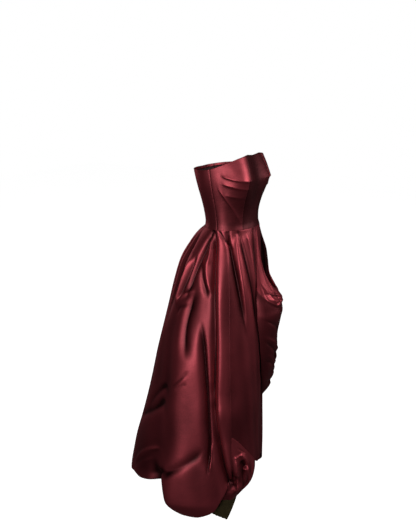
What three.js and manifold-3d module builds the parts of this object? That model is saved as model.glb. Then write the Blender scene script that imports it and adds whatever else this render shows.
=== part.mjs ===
// A strapless evening gown in its worn shape, cut and sewn from heavy satin.
// Millimetres, +Z up. The origin is the middle of the waist at the waist seam, where the wearer holds it up.
// The wearer faces -Y, with the right side at -X. An angle is in degrees from the front round by the right.
import * as THREE from "three";
import { mergeVertices } from "three/addons/utils/BufferGeometryUtils.js";
import Module from "manifold-3d";

const wasm = await Module();
wasm.setup();

// ---- driving dimensions ----
const clothThickness = 1.8;
const netThickness = 1.2;
const seamGap = 0.3;
const waistToFloor = 1083;
const waist = { halfWidth: 113, front: 90, back: 89 };

const satin = new THREE.MeshStandardMaterial({ color: 0x5c1a22, roughness: 0.42, metalness: 0.0 });
const net = new THREE.MeshStandardMaterial({ color: 0x2a2415, roughness: 0.9, metalness: 0.0 });
const zipMetal = new THREE.MeshStandardMaterial({ color: 0x4a1c22, roughness: 0.35, metalness: 0.6 });

// A table's rows, each with the named columns.
function table(columns, ...rows) {
  const names = columns.split(" ");
  return rows.map((row) => Object.fromEntries(names.map((name, i) => [name, row[i]])));
}

// The bodice's sections: half the width, the depth before and behind the middle, how far each cup stands out
// and how far the middle has moved back from the waist's.
const bodiceSections = table(
  "height halfWidth front back cup setBack",
  [0, waist.halfWidth, waist.front, waist.back, 0, 0],
  [20, 110, 87, 86, 0, 2],
  [60, 114, 91, 88, 2, 6],
  [100, 122, 98, 92, 10, 11],
  [140, 131, 107, 97, 22, 17],
  [172, 136, 112, 100, 30, 22],
  [205, 138, 111, 103, 27, 27],
  [235, 140, 107, 105, 21, 31],
  [262, 141, 103, 106, 15, 35],
);
const cupAngle = 34;
const cupSpread = 24;

// The top edge of the bodice, alike on both sides.
const neckline = table(
  "angle height",
  [0, 248], [12, 250], [24, 252], [42, 244], [60, 228], [87, 206], [125, 200], [180, 196],
);

// The bodice's seams, at the waist and at bustHeight, and the panels between them.
const bustHeight = 200;
const bodiceSeams = {
  centreBackLeft: { atWaist: -180, atBust: -180 },
  backLeft: { atWaist: -142, atBust: -147 },
  sideLeft: { atWaist: -88, atBust: -83 },
  princessLeft: { atWaist: -38, atBust: -27 },
  princessRight: { atWaist: 38, atBust: 27 },
  sideRight: { atWaist: 88, atBust: 83 },
  backRight: { atWaist: 142, atBust: 147 },
  centreBack: { atWaist: 180, atBust: 180 },
};
const bodiceRows = 11;
const bodicePanels = table(
  "name from to columns",
  ["bodice_back_left", "centreBackLeft", "backLeft", 5],
  ["bodice_side_back_left", "backLeft", "sideLeft", 7],
  ["bodice_side_front_left", "sideLeft", "princessLeft", 12],
  ["bodice_centre_front", "princessLeft", "princessRight", 16],
  ["bodice_side_front_right", "princessRight", "sideRight", 12],
  ["bodice_side_back_right", "sideRight", "backRight", 7],
  ["bodice_back_right", "backRight", "centreBack", 5],
);

// Soft tucks draped across the cups, alike on both sides, from the side to the front. Each is a roll that
// falls away softly above its edge and sharply below it.
const bodiceTucks = table(
  "sideAngle sideHeight frontAngle frontHeight sag width depth",
  [69, 190, 14, 168, 7, 6, 5.5],
  [70, 163, 16, 137, 4, 6, 4],
  [77, 152, 37, 10, 4, 10, 4.5],
  [68, 124, 26, 112, 3, 7, 2.6],
);
const tuckEnds = { atSide: 9, atFront: 26 }; // degrees over which a tuck dies out
const tuckFall = { above: 0.55, below: 2.2 };

// The skirt's sections: how far the cloth lies from the middle in eight directions, without the folds.
const directions = ["front", "frontRight", "right", "backRight", "back", "backLeft", "left", "frontLeft"];
const skirtSections = table(
  "height front frontRight right backRight back backLeft left frontLeft",
  [0, 90, 100, 113, 99, 89, 99, 113, 100],
  [-30, 95, 106, 121, 124, 128, 124, 120, 103],
  [-65, 100, 114, 131, 147, 155, 147, 129, 105],
  [-125, 107, 128, 150, 178, 191, 177, 146, 109],
  [-200, 114, 142, 168, 201, 217, 199, 160, 113],
  [-300, 119, 154, 184, 226, 244, 224, 173, 115],
  [-420, 122, 164, 198, 251, 274, 248, 184, 116],
  [-600, 125, 176, 216, 285, 313, 281, 198, 117],
  [-780, 128, 184, 232, 326, 358, 320, 210, 118],
  [-900, 131, 189, 245, 356, 392, 350, 218, 121],
  [-1000, 134, 192, 250, 372, 408, 366, 222, 124],
  [-1045, 134, 193, 244, 356, 396, 350, 220, 126],
  [-1090, 135, 193, 232, 318, 358, 314, 212, 127],
);

// Folds that run down the skirt, through three angles. A depth above 0 stands out of the cloth's face and
// one below 0 goes into it. Widths are half widths along the cloth, at the top and the bottom, and the flank
// towards the smaller angles is flank times as wide. The fades are the shares of the fold's length over which
// it starts and dies out.
const skirtFolds = table(
  "top bottom angles widths depth fadeIn fadeOut flank",
  // the wearer's right front, from the side seam to the drape
  [0, -600, [91, 77.5, 77.5], [9, 14], -15, 0.02, 0.12, 1],
  [-520, -960, [77.5, 71, 58], [16, 15], -22, 0.25, 0.1, 1],
  [-20, -760, [84, 73.5, 71], [11, 15], 17, 0.3, 0.2, 5],
  [-560, -960, [73, 68, 55], [15, 12], 14, 0.25, 0.3, 3.5],
  [0, -420, [70, 49, 40], [10, 26], -14, 0.02, 0.4, 0.6],
  [-10, -430, [53, 43, 33], [10, 16], 11, 0.08, 0.5, 2],
  [0, -430, [49, 26, 12], [9, 20], -12, 0.02, 0.4, 0.7],
  [0, -330, [6, 14, 16], [9, 12], -8, 0.02, 0.3, 1],
  // the wearer's right back
  [0, -260, [94, 109, 114], [9, 14], -16, 0.02, 0.3, 1],
  [-110, -270, [121, 124.5, 128], [11, 12], 11, 0.3, 0.2, 1],
  [-110, -260, [115, 119, 124], [9, 10], -12, 0.3, 0.2, 1],
  [-200, -460, [103, 108, 100], [14, 16], -12, 0.3, 0.3, 1],
  [-300, -860, [93, 83, 79.3], [11, 12], -15, 0.2, 0.1, 1],
  [-200, -1090, [109, 104, 100], [40, 58], 30, 0.35, 0.1, 1.4],
  [0, -420, [131, 136, 142], [9, 22], -12, 0.02, 0.5, 1],
  [0, -520, [146, 151, 156], [9, 24], -12, 0.02, 0.5, 1],
  [0, -700, [163, 167, 168], [9, 30], -14, 0.02, 0.4, 1],
  [-850, -1120, [121, 116.5, 114], [15, 22], -48, 0.6, 0.05, 1],
  // the wearer's left back and left side
  [0, -760, [196, 193, 190], [9, 30], -14, 0.02, 0.4, 1],
  [0, -560, [212, 208, 203], [9, 24], -12, 0.02, 0.5, 1],
  [0, -400, [228, 226, 222], [9, 20], -12, 0.02, 0.5, 1],
  [-900, -1120, [222, 222, 222], [18, 26], -40, 0.7, 0.05, 1],
  [-260, -1090, [236, 243, 250], [34, 44], 16, 0.3, 0.1, 1.5],
  [0, -320, [243, 244, 240], [9, 12], -14, 0.02, 0.4, 1],
  [0, -900, [258, 260, 261], [9, 18], -15, 0.02, 0.2, 1],
  [-300, -1090, [281, 283, 282], [20, 26], 12, 0.3, 0.1, 0.6],
  [0, -400, [280, 284, 290], [9, 14], -10, 0.02, 0.5, 1],
);
const foldSpread = 1.25;
const waistPress = { share: 0.2, height: 70 }; // a fold that starts in the waist seam is pressed flat there

// Creases that run across the skirt, each between two points, bowed to one side by bow.
const crossFolds = table(
  "fromAngle fromHeight toAngle toHeight width depth bow",
  [122, -925, 86, -790, 13, -12, -10],
  [141, -700, 112, -562, 13, -9, 22],
  [139, -930, 121, -818, 10, 8, 14],
  [121, -640, 151, -770, 18, -9, 0],
  [238, -950, 205, -850, 18, -12, 0],
  [268, -930, 243, -860, 15, -10, 0],
);
const crossFade = { spread: 3, beyond: 0.5 };

// The skirt's seams, and the panels between them.
const skirtSeams = table(
  "height frontLeft frontRight sideRight centreBack sideLeft",
  [0, -64, 66, 91, 180, 271],
  [-100, -66, 64, 84.5, 180, 271],
  [-260, -67, 62, 78.5, 180, 271],
  [-560, -66, 60, 77.3, 180, 271],
  [-640, -65, 59, 75.5, 180, 271],
  [-756, -64, 58, 71, 180, 271],
  [-850, -63, 58, 66.5, 180, 271],
  [-898, -62, 58, 63.3, 180, 271],
  [-960, -62, 58, 61, 180, 271],
  [-1090, -62, 58, 61, 180, 271],
);
const frontRows = 15;
const backRows = 19;
const underRows = 3;
const rowCrowding = 0.85; // below 1, the rows lie closer together down at the hem
const frontHemCorner = -735;

// The hem's height across each panel, by its share of the way round.
const hems = {
  skirt_front: table(
    "share height",
    [0, -985], [0.27, -945], [0.52, -915], [0.66, -892], [0.78, -851], [0.87, -804], [0.95, -756],
    [1, frontHemCorner],
  ),
  skirt_side_right: table("share height", [0, -905], [1, -932]),
  skirt_back_right: table(
    "share height",
    [0, -932], [0.03, -960], [0.06, -985], [0.12, -1035], [0.18, -1060], [0.25, -1075], [0.345, -1075],
    [0.375, -1058], [0.4, -1012], [0.424, -965], [0.45, -945], [0.5, -948], [0.588, -968], [0.66, -976],
    [0.76, -1006], [0.88, -1036], [1, -1052],
  ),
  skirt_back_left: table(
    "share height",
    [0, -1052], [0.2, -1068], [0.48, -1026], [0.68, -1070], [0.85, -1070], [1, -1068],
  ),
  skirt_side_left: table("share height", [0, -1068], [0.2, -1064], [0.5, -1040], [1, -985]),
};

// The balloon hem turns in under itself, from a share of the way round up to one. The side panel's first
// column follows the front panel's rows down to the front's hem.
const skirtPanels = table(
  "name from to columns rows turnedUnder turnStarts turnEnds followsFront",
  ["skirt_front", "frontLeft", "frontRight", 24, frontRows, 0, 0, 0, false],
  ["skirt_side_right", "frontRight", "sideRight", 9, backRows, 0, 0, 0, true],
  ["skirt_back_right", "sideRight", "centreBack", 30, backRows, 34, 0.1, 2, false],
  ["skirt_back_left", "centreBack", "sideLeft", 22, frontRows, 34, -1, 2, false],
  ["skirt_side_left", "sideLeft", "frontLeft", 8, frontRows, 34, -1, 0.9, false],
);
const hemRoll = { sweep: 0.8 * Math.PI, dip: 0.35, fadeIn: 0.15, fadeOut: 0.3, plainIn: 1.5, plainUp: 6 };

// The drape at the wearer's left front: a cowl hung from the waist, open at the top, that falls back to the
// skirt. near and far are the angles of its two edges, and out is how far its middle stands off the skirt.
// Its far half hangs open by farOut.
const drapeSections = table(
  "height near far out farOut",
  [0, -4, -58, 12, 34],
  [-90, 5, -67, 14, 56],
  [-150, 9, -73, 17, 46],
  [-200, 12, -76, 26, 34],
  [-240, 14, -78, 40, 42],
  [-270, 15, -79, 56, 58],
  [-300, 15, -80, 72, 74],
  [-318, 15, -80, 75, 75],
  [-345, 14, -80, 70, 70],
  [-400, 11, -80, 62, 62],
  [-470, 6, -80, 58, 58],
  [-560, -5, -76, 54, 54],
  [-640, -19, -68, 36, 36],
  [-675, -24, -64, 12, 12],
  [-695, -26, -62, 2, 2],
);
const drape = {
  top: -2, bottom: -690, clearance: 1.6, edgeFullness: 0.8, farBlend: 2, columns: 18, rows: 19,
};
const drapeReach = [-4, -2, 0, 2, 4]; // it clears the highest fold within so many degrees
const cowl = { drop: 236, curve: 2.2, lip: 24, lipRows: 2, lipLean: 0.7, mostIn: 0.65 };
const drapeGathers = { start: -430, fade: 60, spacing: 60, depth: 3.2, lean: 1.5 };

// The gathered layer of the hem that comes out from under the front's slanted hem, and the net under it. On
// its way down its far edge draws in and passes behind the side panel, and its near edge rolls in.
const pickup = {
  columns: 14, rows: 9, frontColumns: 7, gap: 1.2, inset: 0.12, bottom: -1010, fromAngle: 50, toAngle: 74,
};
const pickupTurn = { starts: 0.6, ends: 0.85 };
const pickupTuck = { starts: 0.45, ends: 0.6, share: 0.5, fade: 0.3, depth: 11 };
const pickupBulge = table("share out", [0, 0], [0.15, 9], [0.35, 14], [0.55, 8], [0.75, -7], [1, -26]);
const pickupGathers = { count: 2.4, depth: 3.5, lean: 3 };
const pickupRoll = { share: 0.15, depth: 12 };
const netFlare = { fromAngle: 62, toAngle: 82, nearInset: 5, farInset: 42, rows: 3 };

// The concealed zip at the centre back: only its slider and pull tab lie outside the seam.
const slider = { height: 184, width: 5.4, length: 9, depth: 2, clearance: 0.4 };
const pin = { radius: 0.55, out: 3.6, up: 1.6 };
const lug = { width: 1, length: 2.6, beyondPin: 1 };
const barrel = { radius: 1.3, bore: 0.85, width: 2.6 };
const pull = { length: 19, neckWidth: 2.4, endWidth: 5.6, thickness: 1.2 };

// ---- curves ----
const radians = THREE.MathUtils.degToRad;
const degrees = THREE.MathUtils.radToDeg;
const clamp = THREE.MathUtils.clamp;
const mix = THREE.MathUtils.lerp;
const ease = (t) => THREE.MathUtils.smoothstep(t, 0, 1);
const bump = (x, width) => Math.exp(-(x * x) / (width * width));

// A smooth curve through a column of a table, by another of its columns.
function curveOf(rows, key, by = "height") {
  const points = rows.map((row) => ({ x: row[by], y: row[key] })).sort((a, b) => a.x - b.x);
  const last = points.length - 1;
  const slopes = points.map((_, i) => {
    const [before, after] = [points[Math.max(0, i - 1)], points[Math.min(last, i + 1)]];
    return (after.y - before.y) / (after.x - before.x);
  });
  return (x) => {
    if (x <= points[0].x) return points[0].y;
    if (x >= points[last].x) return points[last].y;
    const i = points.findIndex((point) => point.x > x) - 1;
    const span = points[i + 1].x - points[i].x;
    const [start, end] = [points[i].y, points[i + 1].y];
    return hermite((x - points[i].x) / span, start, end, span * slopes[i], span * slopes[i + 1]);
  };
}

function hermite(t, start, end, startSlope, endSlope) {
  const lead = t * (1 - t) * (1 - t) * startSlope;
  const tail = t * t * (t - 1) * endSlope;
  return mix(start, end, ease(t)) + lead + tail;
}

// The same angle, from -180 to 180.
const wrapped = (angle) => THREE.MathUtils.euclideanModulo(angle + 180, 360) - 180;

// The point at an angle and a distance from the middle.
function around(angle, radius, height, setBack = 0) {
  const turn = radians(angle);
  return new THREE.Vector3(-Math.sin(turn) * radius, setBack - Math.cos(turn) * radius, height);
}

// ---- the bodice's surface ----
const bodice = Object.fromEntries(
  ["halfWidth", "front", "back", "cup", "setBack"].map((key) => [key, curveOf(bodiceSections, key)]),
);
const necklineCurve = curveOf(neckline, "height", "angle");
const necklineHeight = (angle) => necklineCurve(Math.abs(wrapped(angle)));

function tuckLift(angle, height) {
  const fromFront = Math.abs(wrapped(angle));
  let lift = 0;
  for (const tuck of bodiceTucks) {
    const share = clamp((tuck.sideAngle - fromFront) / (tuck.sideAngle - tuck.frontAngle), 0, 1);
    const edge = mix(tuck.sideHeight, tuck.frontHeight, share) - tuck.sag * Math.sin(Math.PI * share);
    const fadeAtSide = ease((tuck.sideAngle - fromFront) / tuckEnds.atSide);
    const fadeAtFront = ease((fromFront - tuck.frontAngle) / tuckEnds.atFront);
    const above = (height - edge) / tuck.width;
    const fall = above > 0 ? -tuckFall.above * above : tuckFall.below * above;
    lift += tuck.depth * fadeAtSide * fadeAtFront * Math.exp(fall);
  }
  return lift;
}

function bodicePoint(angle, height) {
  const [sine, cosine] = [Math.sin(radians(angle)), Math.cos(radians(angle))];
  const depth = cosine > 0 ? bodice.front(height) : bodice.back(height);
  const ellipse = 1 / Math.hypot(sine / bodice.halfWidth(height), cosine / depth);
  const cups = bump(wrapped(angle - cupAngle), cupSpread) + bump(wrapped(angle + cupAngle), cupSpread);
  const radius = ellipse + bodice.cup(height) * cups + tuckLift(angle, height);
  return around(angle, radius, height, bodice.setBack(height));
}

// ---- the skirt's surface ----
const skirtColumns = directions.map((direction) => curveOf(skirtSections, direction));

// How far the skirt lies from the middle without its folds, smooth through the eight directions.
function skirtBase(angle, height) {
  const position = (THREE.MathUtils.euclideanModulo(angle, 360) / 360) * directions.length;
  const first = Math.floor(position);
  const [before, here, next, after] = [-1, 0, 1, 2].map((step) =>
    skirtColumns[(first + step + directions.length) % directions.length](height),
  );
  return hermite(position - first, here, next, (next - before) / 2, (after - here) / 2);
}

// The angle at which a fold lies, by the share of the way down it.
function lineOf([start, middle, end], share) {
  const rest = 1 - share;
  return start * rest * (rest - share) + middle * 4 * share * rest + end * share * (share - rest);
}

function downFoldLift(fold, angle, height, radius) {
  const share = (fold.top - height) / (fold.top - fold.bottom);
  if (share < 0 || share > 1) return 0;
  const across = radians(wrapped(angle - lineOf(fold.angles, share))) * radius;
  const width = foldSpread * mix(fold.widths[0], fold.widths[1], share) * (across < 0 ? fold.flank : 1);
  const fade = ease((share + 1e-3) / fold.fadeIn) * ease((1 - share) / fold.fadeOut);
  const pressed = fold.top === 0 ? mix(waistPress.share, 1, ease(-height / waistPress.height)) : 1;
  return fold.depth * fade * pressed * bump(across, width);
}

function crossFoldLift(fold, angle, height, radius) {
  const onCloth = (turn, rise) => new THREE.Vector2(radians(turn) * radius, rise);
  const line = onCloth(fold.toAngle - fold.fromAngle, fold.toHeight - fold.fromHeight);
  const here = onCloth(wrapped(angle - fold.fromAngle), height - fold.fromHeight);
  const share = here.dot(line) / line.lengthSq();
  const off = here.cross(line) / line.length() - fold.bow * 4 * share * (1 - share);
  const { spread, beyond } = crossFade;
  const fade = ease(share * spread + beyond) * ease((1 - share) * spread + beyond);
  return fold.depth * fade * bump(off, fold.width);
}

function foldLift(angle, height, radius) {
  let lift = 0;
  for (const fold of skirtFolds) lift += downFoldLift(fold, angle, height, radius);
  for (const fold of crossFolds) lift += crossFoldLift(fold, angle, height, radius);
  return lift;
}

function skirtRadius(angle, height) {
  const base = skirtBase(angle, height);
  return base + foldLift(angle, height, base);
}

// ---- walls ----
// The outward direction of a surface point(u, v), with u round by the wearer's right and v down.
function outwardAt(point, u, v) {
  const step = 1e-3;
  const round = point(u + step, v).sub(point(u - step, v));
  const down = point(u, v + step).sub(point(u, v - step));
  return round.cross(down).normalize();
}

// A closed wall of cloth on the surface point(u, v): the outer face, the same moved in, and the four edges.
// An edge that is level is cut square to the waist, as at the waist seam.
const plainEdges = { thickness: clothThickness, levelTop: true, levelFoot: false };
function wall(name, material, columns, rows, point, options = {}) {
  const { thickness, levelTop, levelFoot } = { ...plainEdges, ...options };
  const positions = [];
  for (const inner of [false, true])
    for (let row = 0; row <= rows; row += 1)
      for (let step = 0; step <= columns; step += 1) {
        const [u, v] = [step / columns, row / rows];
        const corner = point(u, v);
        if (inner) {
          const outward = outwardAt(point, u, v);
          if ((row === 0 && levelTop) || (row === rows && levelFoot)) outward.setZ(0).normalize();
          corner.addScaledVector(outward, -thickness);
        }
        positions.push(corner.x, corner.y, corner.z);
      }
  const at = (side, step, row) => (side * (rows + 1) + row) * (columns + 1) + step;
  const faces = [];
  const quad = (a, b, c, d) => faces.push(a, b, c, a, c, d);
  for (let row = 0; row < rows; row += 1)
    for (let step = 0; step < columns; step += 1) {
      quad(at(0, step, row), at(0, step + 1, row), at(0, step + 1, row + 1), at(0, step, row + 1));
      quad(at(1, step, row), at(1, step, row + 1), at(1, step + 1, row + 1), at(1, step + 1, row));
    }
  for (let step = 0; step < columns; step += 1) {
    quad(at(0, step, 0), at(1, step, 0), at(1, step + 1, 0), at(0, step + 1, 0));
    quad(at(0, step + 1, rows), at(1, step + 1, rows), at(1, step, rows), at(0, step, rows));
  }
  for (let row = 0; row < rows; row += 1) {
    quad(at(0, 0, row + 1), at(1, 0, row + 1), at(1, 0, row), at(0, 0, row));
    quad(at(0, columns, row + 1), at(0, columns, row), at(1, columns, row), at(1, columns, row + 1));
  }
  const geometry = new THREE.BufferGeometry();
  geometry.setAttribute("position", new THREE.Float32BufferAttribute(positions, 3));
  geometry.setIndex(faces);
  geometry.computeVertexNormals();
  const mesh = new THREE.Mesh(geometry, material);
  mesh.name = name;
  return mesh;
}

// A share of the way between two seams, held half a seam gap away from each.
function between(from, to, share) {
  const inset = degrees(seamGap / 2 / waist.front);
  return mix(from + inset, to - inset, share);
}

function bodicePanel({ name, from, to, columns }) {
  const seamAt = ({ atWaist, atBust }, height) => mix(atWaist, atBust, height / bustHeight);
  const angleAt = (height, share) =>
    between(seamAt(bodiceSeams[from], height), seamAt(bodiceSeams[to], height), share);
  const point = (u, v) => {
    const height = mix(necklineHeight(angleAt(bustHeight, u)), seamGap / 2, v);
    return bodicePoint(angleAt(height, u), height);
  };
  return wall(name, satin, columns, bodiceRows, point, { levelFoot: true });
}

// ---- the skirt's panels ----
const seamNames = Object.keys(skirtSeams[0]);
const seamAngle = Object.fromEntries(seamNames.map((name) => [name, curveOf(skirtSeams, name)]));
const rowShare = (row, rows) => clamp(row / rows, 0, 1) ** rowCrowding;

// Where the side panel's first column has its rows: the front's down to the front's hem, and then its own.
function sideFrontRowShare(row, hemHeight) {
  const meets = frontHemCorner / hemHeight;
  if (row <= frontRows) return rowShare(row, frontRows) * meets;
  return mix(meets, 1, clamp((row - frontRows) / (backRows - frontRows), 0, 1));
}

function panelAngle({ from, to }, height, share) {
  const start = seamAngle[from](height);
  const end = seamAngle[to](height);
  return between(start, end < start ? end + 360 : end, share);
}

function skirtPanel(panel) {
  const hemHeight = curveOf(hems[panel.name], "height", "share");
  const turnRows = panel.turnedUnder ? underRows : 0;
  return wall(panel.name, satin, panel.columns, panel.rows + turnRows, (u, v) => {
    const row = v * (panel.rows + turnRows);
    const hemAt = hemHeight(clamp(u, 0, 1));
    const ownShare = rowShare(row, panel.rows);
    const share = panel.followsFront ? mix(sideFrontRowShare(row, hemAt), ownShare, u) : ownShare;
    const height = mix(-seamGap / 2, hemAt, share);
    const angle = panelAngle(panel, height, u);
    const point = around(angle, skirtRadius(angle, height), height);
    if (row <= panel.rows || !panel.turnedUnder) return point;
    const full = ease((u - panel.turnStarts) / hemRoll.fadeIn) * ease((panel.turnEnds - u) / hemRoll.fadeOut);
    return turnUnder(point, angle, (row - panel.rows) / turnRows, panel.turnedUnder / 2, full);
  });
}

// Carries a hem point on round a soft roll, in towards the middle and up. Where full is 0 it hangs plain.
function turnUnder(point, angle, share, radius, full) {
  const sweep = hemRoll.sweep * share;
  const inward = mix(hemRoll.plainIn * share, radius * (1 - Math.cos(sweep)), full);
  const down = mix(hemRoll.plainUp * share, radius * (hemRoll.dip * Math.sin(sweep) - share * share), full);
  return point.add(around(angle, -inward, -down));
}

// ---- the drape ----
function hipDrape() {
  const [near, far, out, farOut] = ["near", "far", "out", "farOut"].map((key) => curveOf(drapeSections, key));
  const lipShare = cowl.lipRows / drape.rows;
  return wall("hip_drape", satin, drape.columns, drape.rows, (u, v) => {
    const side = clamp(2 * u - 1, -1, 1); // -1 at the far edge, 1 at the near edge
    const hang = 1 - Math.abs(side) ** cowl.curve;
    const top = drape.top - cowl.drop * hang;
    const height = mix(top, drape.bottom, clamp((v - lipShare) / (1 - lipShare), 0, 1));
    const angle = mix(far(height), near(height), u);
    const skirt = Math.max(...drapeReach.map((step) => skirtRadius(angle + step, height)));
    const wave = Math.sin((2 * Math.PI * height) / drapeGathers.spacing + drapeGathers.lean * side);
    const fade = ease((drapeGathers.start - height) / drapeGathers.fade) * (1 - side * side);
    const fullness = Math.cos((side * Math.PI) / 2) ** drape.edgeFullness;
    const middleOut = mix(out(height), farOut(height), ease(-drape.farBlend * side));
    const standsOff = Math.max(0, (middleOut + drapeGathers.depth * wave * fade) * fullness);
    const lip = clamp(1 - v / lipShare, 0, 1) * hang * cowl.lip;
    const rolledIn = Math.min(cowl.lipLean * lip, cowl.mostIn * standsOff);
    return around(angle, skirt + drape.clearance + standsOff - rolledIn, height - lip);
  }, { levelTop: false });
}

// ---- the hem's under layers ----
const frontPanel = skirtPanels[0];
const frontHem = curveOf(hems.skirt_front, "height", "share");

// The front's hem as its facets run, so that the layer which goes on from it meets it evenly.
function facetedHem(share) {
  const position = clamp(share, 0, 1) * frontPanel.columns;
  const column = Math.min(Math.floor(position), frontPanel.columns - 1);
  const [here, next] = [column, column + 1].map((step) => frontHem(step / frontPanel.columns));
  return mix(here, next, position - column);
}
const bulge = curveOf(pickupBulge, "out", "share");

function pickupPoint(u, v) {
  const frontShare = mix(1 - pickup.frontColumns / frontPanel.columns, 1, u);
  const top = facetedHem(frontShare) - pickup.gap;
  const height = mix(top, pickup.bottom, v);
  const topAngle = panelAngle(frontPanel, top, frontShare);
  const bottomAngle = mix(pickup.fromAngle, pickup.toAngle, u);
  const turned = ease((v - pickupTurn.starts) / (pickupTurn.ends - pickupTurn.starts));
  const flatShare = clamp(u, 0, 1) ** 4; // it stays close to the side panel where they lie edge to edge
  const angle = mix(topAngle - pickup.inset * flatShare, bottomAngle, mix(v, turned, clamp(u, 0, 1)));
  const wave = Math.sin(2 * Math.PI * pickupGathers.count * u + pickupGathers.lean * v);
  const out = bulge(v) + pickupGathers.depth * wave * ease(pickupGathers.lean * v);
  const drawnIn = ease((v - pickupTuck.starts) / (pickupTuck.ends - pickupTuck.starts));
  const tucked = drawnIn * ease((u - pickupTuck.share) / pickupTuck.fade);
  const rolledEdge = pickupRoll.depth * clamp(1 - u / pickupRoll.share, 0, 1) ** 2 * v;
  const standsOut = mix(out, Math.min(out, 0), Math.max(flatShare, tucked));
  const offset = standsOut - pickupTuck.depth * tucked - rolledEdge;
  return around(angle, skirtRadius(angle, height) + offset, height);
}

function netPoint(u, v) {
  const top = pickupPoint(u, 1);
  const topAngle = degrees(Math.atan2(-top.x, -top.y));
  const height = mix(pickup.bottom - seamGap, -waistToFloor, v);
  const angle = mix(topAngle, mix(netFlare.fromAngle, netFlare.toAngle, u), v);
  const hemInset = mix(netFlare.nearInset, netFlare.farInset, u);
  const hemRadius = skirtRadius(mix(netFlare.fromAngle, netFlare.toAngle, u), -waistToFloor) - hemInset;
  return around(angle, mix(Math.hypot(top.x, top.y), hemRadius, v), height);
}

// ---- the zip's slider and pull tab ----
function solidOf(geometry) {
  const bare = geometry.clone();
  bare.deleteAttribute("normal");
  bare.deleteAttribute("uv");
  const merged = mergeVertices(bare);
  const vertProperties = Float32Array.from(merged.attributes.position.array);
  const triVerts = Uint32Array.from(merged.index.array);
  return new wasm.Manifold(new wasm.Mesh({ numProp: 3, vertProperties, triVerts }));
}

function meshOf(solid, name, material) {
  const { vertProperties, triVerts } = solid.getMesh();
  const geometry = new THREE.BufferGeometry();
  geometry.setAttribute("position", new THREE.BufferAttribute(vertProperties, 3));
  geometry.setIndex(new THREE.BufferAttribute(triVerts, 1));
  geometry.computeVertexNormals();
  const mesh = new THREE.Mesh(geometry, material);
  mesh.name = name;
  return mesh;
}

const rodAcross = (radius, length, sides) =>
  new THREE.CylinderGeometry(radius, radius, length, sides).rotateZ(Math.PI / 2);

// The slider's own frame has x across the back, y out of it and z up along it.
function zipSlider() {
  const { width, length, depth } = slider;
  const outline = new THREE.Shape(
    [
      [-width / 2, length / 2],
      [-width / 2, -length / 4],
      [-width / 4, -length / 2],
      [width / 4, -length / 2],
      [width / 2, -length / 4],
      [width / 2, length / 2],
    ].map(([x, y]) => new THREE.Vector2(x, y)),
  );
  const plate = new THREE.ExtrudeGeometry(outline, { depth, bevelEnabled: false });
  plate.rotateX(Math.PI / 2).translate(0, depth, 0);
  let body = solidOf(plate);
  const lugHeight = pin.out + lug.beyondPin - depth / 2;
  for (const side of [-1, 1]) {
    const ear = new THREE.BoxGeometry(lug.width, lugHeight, lug.length);
    ear.translate(side * (width / 2 - lug.width / 2), depth / 2 + lugHeight / 2, pin.up);
    body = body.add(solidOf(ear));
  }
  const pivot = rodAcross(pin.radius, width - lug.width, 16).translate(0, pin.out, pin.up);
  return meshOf(body.add(solidOf(pivot)), "zip_slider", zipMetal);
}

// The tab's own frame is the slider's, moved to the pin.
function zipPull() {
  const { length, neckWidth, endWidth, thickness } = pull;
  const outline = new THREE.Shape();
  outline.moveTo(neckWidth / 2, 0);
  outline.lineTo(-neckWidth / 2, 0);
  outline.lineTo(-endWidth / 2, endWidth / 2 - length);
  outline.absarc(0, endWidth / 2 - length, endWidth / 2, Math.PI, 2 * Math.PI, false);
  outline.closePath();
  const plate = new THREE.ExtrudeGeometry(outline, { depth: thickness, bevelEnabled: false });
  plate.rotateX(Math.PI / 2).translate(0, thickness / 2, 0);
  const tab = solidOf(plate).add(solidOf(rodAcross(barrel.radius, barrel.width, 20)));
  return meshOf(tab.subtract(solidOf(rodAcross(barrel.bore, barrel.width + 2, 20))), "zip_pull", zipMetal);
}

// Seats the slider on the back, leaning with it, and hangs the tab straight down from its pin.
function zip() {
  const [above, below] = [1, -1].map((end) => bodicePoint(180, slider.height + (end * slider.length) / 2));
  const group = new THREE.Group();
  group.position.copy(above).lerp(below, 0.5);
  group.position.y += slider.clearance;
  group.rotation.x = -Math.atan2(above.y - below.y, above.z - below.z);
  const tab = zipPull();
  tab.position.set(0, pin.out, pin.up);
  tab.rotation.x = -group.rotation.x;
  group.add(zipSlider(), tab);
  return group;
}

// ---- the gown ----
const gown = new THREE.Group();
for (const panel of bodicePanels) gown.add(bodicePanel(panel));
for (const panel of skirtPanels) gown.add(skirtPanel(panel));
gown.add(hipDrape());
gown.add(wall("hem_pickup", satin, pickup.columns, pickup.rows, pickupPoint));
gown.add(wall("net_hem", net, pickup.columns, netFlare.rows, netPoint, { thickness: netThickness }));
gown.add(zip());

export default gown;
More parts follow.
